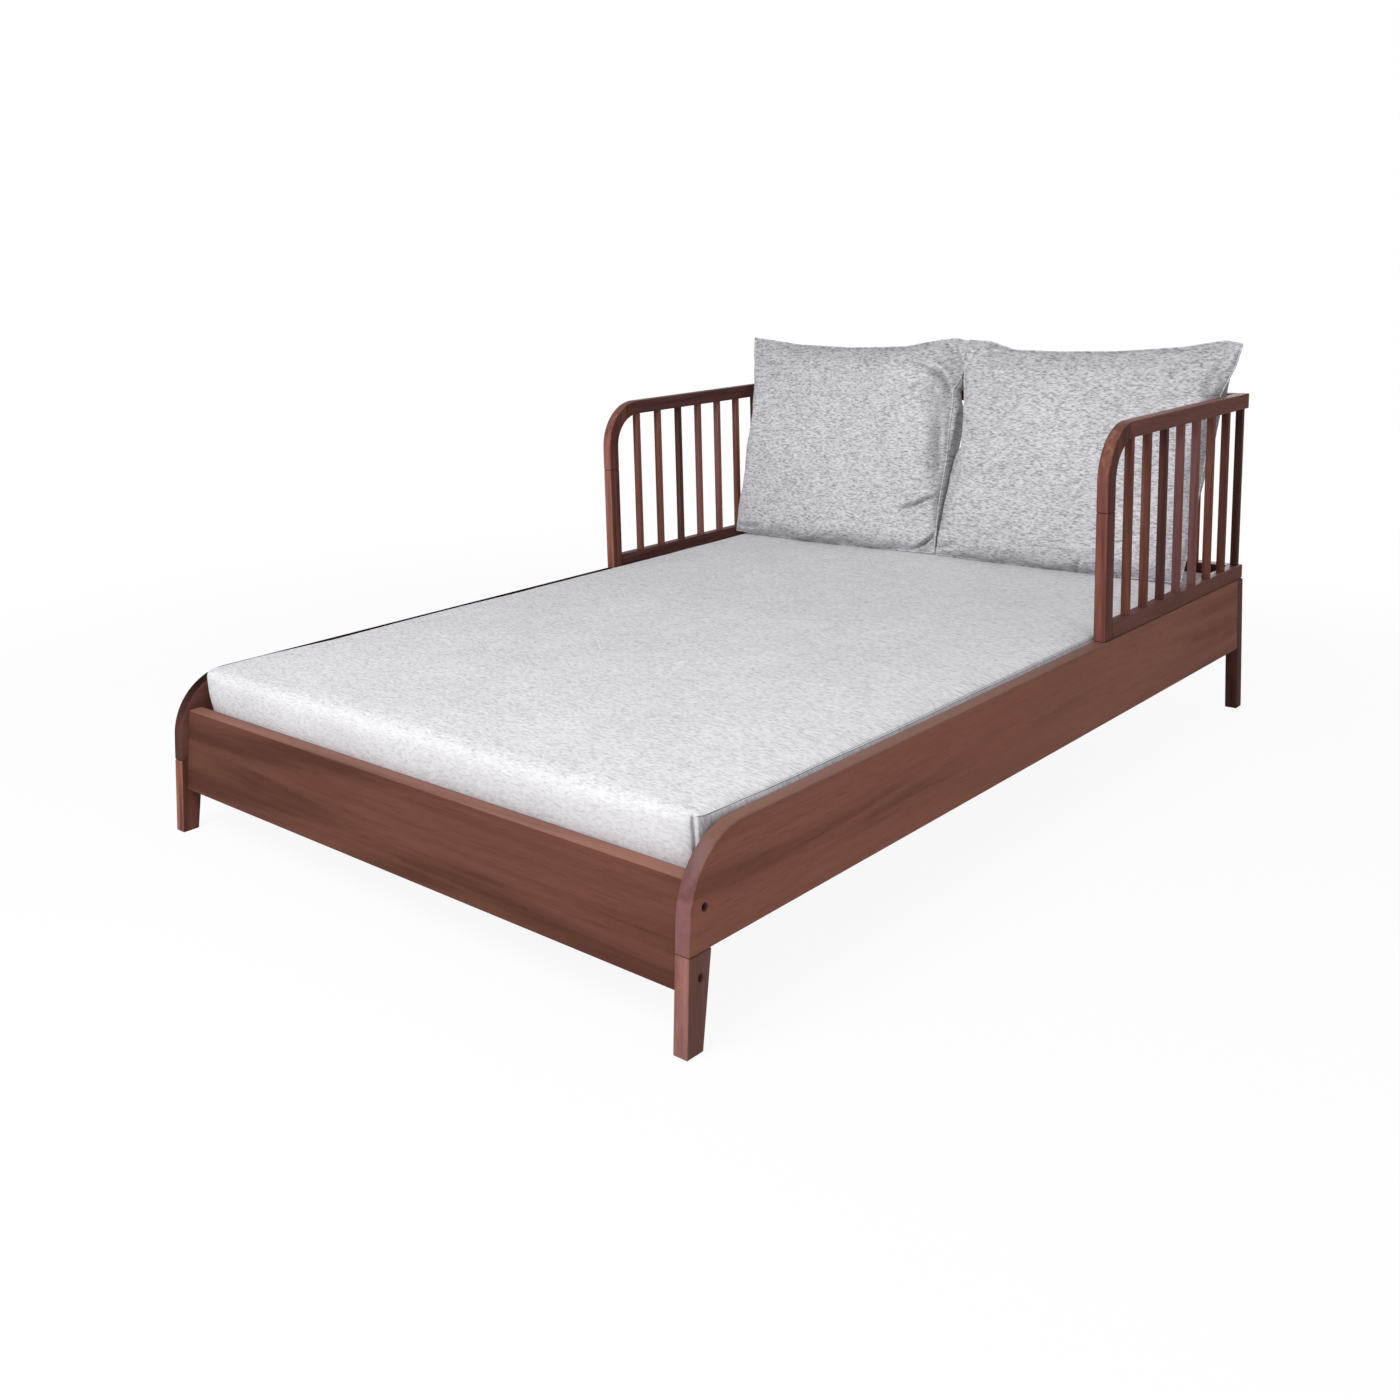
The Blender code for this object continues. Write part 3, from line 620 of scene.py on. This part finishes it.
def cushion_cover(side, sign):
    """Builds one back cushion; u runs from its outer to its inner edge and w from foot to top."""
    nx, nz = CUSHION_CELLS
    sides = {name: (lambda place, row=row: along(row, place)) for name, row in EDGES[side].items()}
    normal = np.array(Vector((0.0, -1.0, SLOPE)).normalized())
    bm = bmesh.new()
    grid, where = {}, []
    for face in (1, -1):
        for i in range(nx + 1):
            for k in range(nz + 1):
                rim = i in (0, nx) or k in (0, nz)
                if rim and face < 0:
                    grid[face, i, k] = grid[1, i, k]
                    continue
                grid[face, i, k] = bm.verts.new()
                where.append((i / nx, k / nz, 0.0 if rim else face))
    for face in (1, -1):
        for i in range(nx):
            for k in range(nz):
                ring = [grid[face, i, k], grid[face, i + 1, k], grid[face, i + 1, k + 1], grid[face, i, k + 1]]
                bm.faces.new(ring if face * sign < 0 else ring[::-1])
    bm.verts.index_update()
    edges = {"foot": [grid[1, i, 0].index for i in range(nx + 1)],
             "top": [grid[1, i, nz].index for i in range(nx + 1)],
             "outer": [grid[1, 0, k].index for k in range(nz + 1)],
             "inner": [grid[1, nx, k].index for k in range(nz + 1)]}
    obj = link("cushion_cover_" + side, bm, CUSHION_CLOTH)
    u, w, face = np.array(where).T
    flat = patch(sides, u, w)
    dome = CUSHION_DOME * (16 * u * (1 - u) * w * (1 - w)) ** 0.6
    dome += np.array([0.0016 * noise.noise(Vector(p) * 14.0 + Vector((3.7 * sign, 0, f)))
                      for p, f in zip(flat, face)])
    move(obj, flat + normal * (dome * face)[:, None])
    swell(obj, pressure=1.45, frames=20, stiff=40.0, bend=0.6, cap=0.075)
    co = spots(obj)
    # draw the filled seam to where it rests, and carry the panels with it
    pull = {name: co[row] for name, row in edges.items()}
    steps = {name: np.linspace(0, 1, len(row)) for name, row in edges.items()}

    def filled(name):
        return lambda place: np.stack([np.interp(place, steps[name], pull[name][:, i]) for i in range(3)], axis=-1)

    drawn = patch({name: filled(name) for name in edges}, u, w)
    lift = (co - drawn) @ normal
    full = np.abs(lift).max()
    loose = np.clip((u - 0.80) / 0.15, 0, 1) * (sign < 0) * LOOSE
    thick = np.sign(lift) * full * (np.abs(lift) / full) ** (CUSHION_FULL + loose)
    co = co - drawn - normal * lift[:, None] + flat + normal * thick[:, None]
    # the backs of the two cushions swell past their seams until they meet
    lobe = LOBE[side] * np.sin(np.pi * np.clip((1 - u) / LOBE_SPAN, 0, 1) ** 0.8) * (face < 0)
    reach = np.clip((LOBE_TOP[side] - w) / 0.2, 0.12, 1) + 0.8 * np.exp(-((w - 0.84) / 0.055) ** 2)
    co[:, 0] -= sign * lobe * np.clip(reach, 0, 1) * np.clip(w / 0.06, 0, 1)
    if sign < 0:
        co[:, 1] += EAR_BACK * np.exp(-((1 - u) / 0.08) ** 2) * np.clip((w - 0.80) / 0.1, 0, 1)
    else:
        outer = np.sin(np.pi * np.clip(u / 0.35, 0, 1) ** 0.6) * (face < 0)
        co[:, 1] += OUTER_BACK * outer * np.clip(w / 0.15, 0, 1) * np.clip((0.97 - w) / 0.2, 0, 1)
    move(obj, co)
    # finer mesh for the folds, carrying each point's place on the panel; the sewn edge stays sharp
    sewn = np.array([e.vertices for e in obj.data.edges])
    sewn = (np.abs(face[sewn]) < 0.5).all(axis=1)
    corner = (np.minimum(u, 1 - u) < 1e-6) & (np.minimum(w, 1 - w) < 1e-6)
    for name, domain, values in (("crease_edge", "EDGE", sewn), ("crease_vert", "POINT", corner),
                                 ("u", "POINT", u), ("w", "POINT", w), ("side", "POINT", face)):
        obj.data.attributes.new(name, "FLOAT", domain).data.foreach_set("value", values.astype(np.float32))
    finer(obj)
    mesh = bpy.data.meshes.new_from_object(obj.evaluated_get(bpy.context.evaluated_depsgraph_get()))
    obj.modifiers.clear()
    obj.data = mesh
    co = spots(obj)
    u, w, face = (np.array([v.value for v in mesh.attributes[name].data]) for name in ("u", "w", "side"))
    for name in ("u", "w", "side", "crease_edge", "crease_vert"):
        mesh.attributes.remove(mesh.attributes[name])
    fold = sum(crease(u, w, *shape) for shape in CREASES[side]) * np.clip(face, 0, 1)
    rim = np.minimum(np.minimum(u, 1 - u) * CUSHION_PANEL[0], np.minimum(w, 1 - w) * CUSHION_PANEL[1])
    ripple = np.array([noise.noise(Vector(p) * 26.0) for p in co]) * RIM_WAVE * np.exp(-rim / 0.018) * np.abs(face)
    co += normal * (fold + ripple)[:, None]
    # painted shade in the folds, kept as a point attribute for the cushion cloth
    shade = np.clip(-fold / FOLD_DEEP, 0, 1).astype(np.float32)
    mesh.attributes.new("fold", "FLOAT", "POINT").data.foreach_set("value", shade)
    # rest on the mattress, the rail, the arms and the other cushion
    over = np.clip(co[:, 2] - arm_top - 0.006, 0, 1)
    reach = arm_inner - CUSHION_GAP + np.minimum(over * 1.2, 0.05)
    co[:, 0] = np.clip(co[:, 0], -reach, reach)
    co[:, 0] = np.maximum(co[:, 0], MEET + MEET_GAP) if sign > 0 else np.minimum(co[:, 0], MEET - MEET_GAP)
    co[:, 1] = np.minimum(co[:, 1], back_face - CUSHION_GAP + np.minimum(over * 0.8, 0.03))
    for i in np.where(co[:, 2] < 0.40)[0]:
        co[i, 2] = max(co[i, 2], pad_top(co[i, 0], co[i, 1]) + CUSHION_PAD_GAP)
    move(obj, co)
    on_seam = np.where(np.abs(face) < 1e-4)[0]
    round_trip = np.select([w[on_seam] < 1e-4, u[on_seam] > 1 - 1e-4, w[on_seam] > 1 - 1e-4],
                           [u[on_seam], 1 + w[on_seam], 3 - u[on_seam]], 4 - w[on_seam])
    seam("cushion_seam_" + side, co[on_seam[np.argsort(round_trip)]], CUSHION_SEAM, CUSHION_CLOTH,
         "cushion_" + side, closed=True)
    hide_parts("back_cushion_" + side)
    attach(obj, "cushion_" + side)


for side, sign in (("left", -1), ("right", 1)):
    cushion_cover(side, sign)


# camera
def place_camera():
    ahead = Vector((-math.sin(YAW) * math.cos(PITCH), math.cos(YAW) * math.cos(PITCH), -math.sin(PITCH)))
    level = Vector((math.cos(YAW), math.sin(YAW), 0.0))
    rise = level.cross(ahead)
    right = math.cos(ROLL) * level + math.sin(ROLL) * rise
    up = -math.sin(ROLL) * level + math.cos(ROLL) * rise
    data = bpy.data.cameras.new("camera")
    data.sensor_width = 36.0
    data.lens = 36.0 * FOCAL / IMAGE
    data.shift_x = (IMAGE / 2 - CENTRE[0]) / IMAGE
    data.shift_y = (CENTRE[1] - IMAGE / 2) / IMAGE
    data.clip_end = 60.0
    camera = bpy.data.objects.new("camera", data)
    turn = Matrix((right, up, -ahead)).transposed()
    camera.matrix_world = Matrix.Translation(EYE) @ turn.to_4x4()
    SCENE.collection.objects.link(camera)
    SCENE.camera = camera


place_camera()


# studio
def area_light(name, where, aim, size, power):
    data = bpy.data.lights.new(name, "AREA")
    data.shape = "DISK"
    data.size = size
    data.energy = power
    lamp = bpy.data.objects.new(name, data)
    lamp.location = where
    lamp.rotation_euler = (Vector(aim) - Vector(where)).to_track_quat("-Z", "Y").to_euler()
    SCENE.collection.objects.link(lamp)


def white_to_camera(tree):
    """White to the camera and in reflections, lit as usual otherwise."""
    path = tree.nodes.new("ShaderNodeLightPath")
    seen = tree.nodes.new("ShaderNodeMath")
    seen.operation = "MAXIMUM"
    mirror = tree.nodes.new("ShaderNodeMath")
    mirror.operation = "MAXIMUM"
    tree.links.new(path.outputs["Is Camera Ray"], seen.inputs[0])
    tree.links.new(path.outputs["Is Glossy Ray"], mirror.inputs[0])
    tree.links.new(path.outputs["Is Transmission Ray"], mirror.inputs[1])
    tree.links.new(mirror.outputs[0], seen.inputs[1])
    return seen.outputs[0]


def make_world():
    world = bpy.data.worlds.new("studio")
    SCENE.world = world
    world.use_nodes = True
    tree = world.node_tree
    soft = tree.nodes["Background"]
    soft.inputs["Color"].default_value = (0.97, 0.98, 1.0, 1.0)
    soft.inputs["Strength"].default_value = 0.325
    white = tree.nodes.new("ShaderNodeBackground")
    white.inputs["Strength"].default_value = 1.0
    white.inputs["Color"].default_value = (1.0, 1.0, 1.0, 1.0)
    mix = tree.nodes.new("ShaderNodeMixShader")
    tree.links.new(white_to_camera(tree), mix.inputs[0])
    tree.links.new(soft.outputs[0], mix.inputs[1])
    tree.links.new(white.outputs[0], mix.inputs[2])
    tree.links.new(mix.outputs[0], tree.nodes["World Output"].inputs[0])


def make_floor():
    bm = bmesh.new()
    bmesh.ops.create_grid(bm, x_segments=8, y_segments=8, size=14.0)
    t = Tree("pale_floor")
    t.shader.inputs["Base Color"].default_value = (0.86, 0.86, 0.86, 1.0)
    t.shader.inputs["Roughness"].default_value = 0.9
    t.shader.inputs["Specular IOR Level"].default_value = 0.0
    glow = t.add("Emission", {"Color": (1.0, 1.0, 1.0, 1.0), "Strength": 1.0})
    seen = white_to_camera(t.material.node_tree)
    away = t.add("VectorMath", {0: t.add("TexCoord").outputs["Object"]}, operation="LENGTH").outputs["Value"]
    fade = t.ramp(t.math("DIVIDE", away, 4.0), [(0.30, grey(0.92)), (0.85, grey(1.0))], smooth=True)
    mix = t.add("MixShader", {0: t.math("MULTIPLY", seen, fade)})
    t.links.new(t.shader.outputs[0], mix.inputs[1])
    t.links.new(glow.outputs[0], mix.inputs[2])
    t.links.new(mix.outputs[0], t.nodes["Material Output"].inputs[0])
    floor = link("floor", bm, t.material)
    floor.location.z = -0.0005


make_world()
make_floor()
area_light("key", (0.3, -3.2, 3.3), (0.0, -0.4, 0.2), 2.4, 146.0)
area_light("fill", (3.2, -0.8, 2.0), (0.3, 0.0, 0.2), 2.4, 14.0)
area_light("behind", (0.0, 3.6, 0.75), (0.0, 0.9, 0.5), 1.2, 34.0)

SCENE.view_settings.view_transform = "Standard"
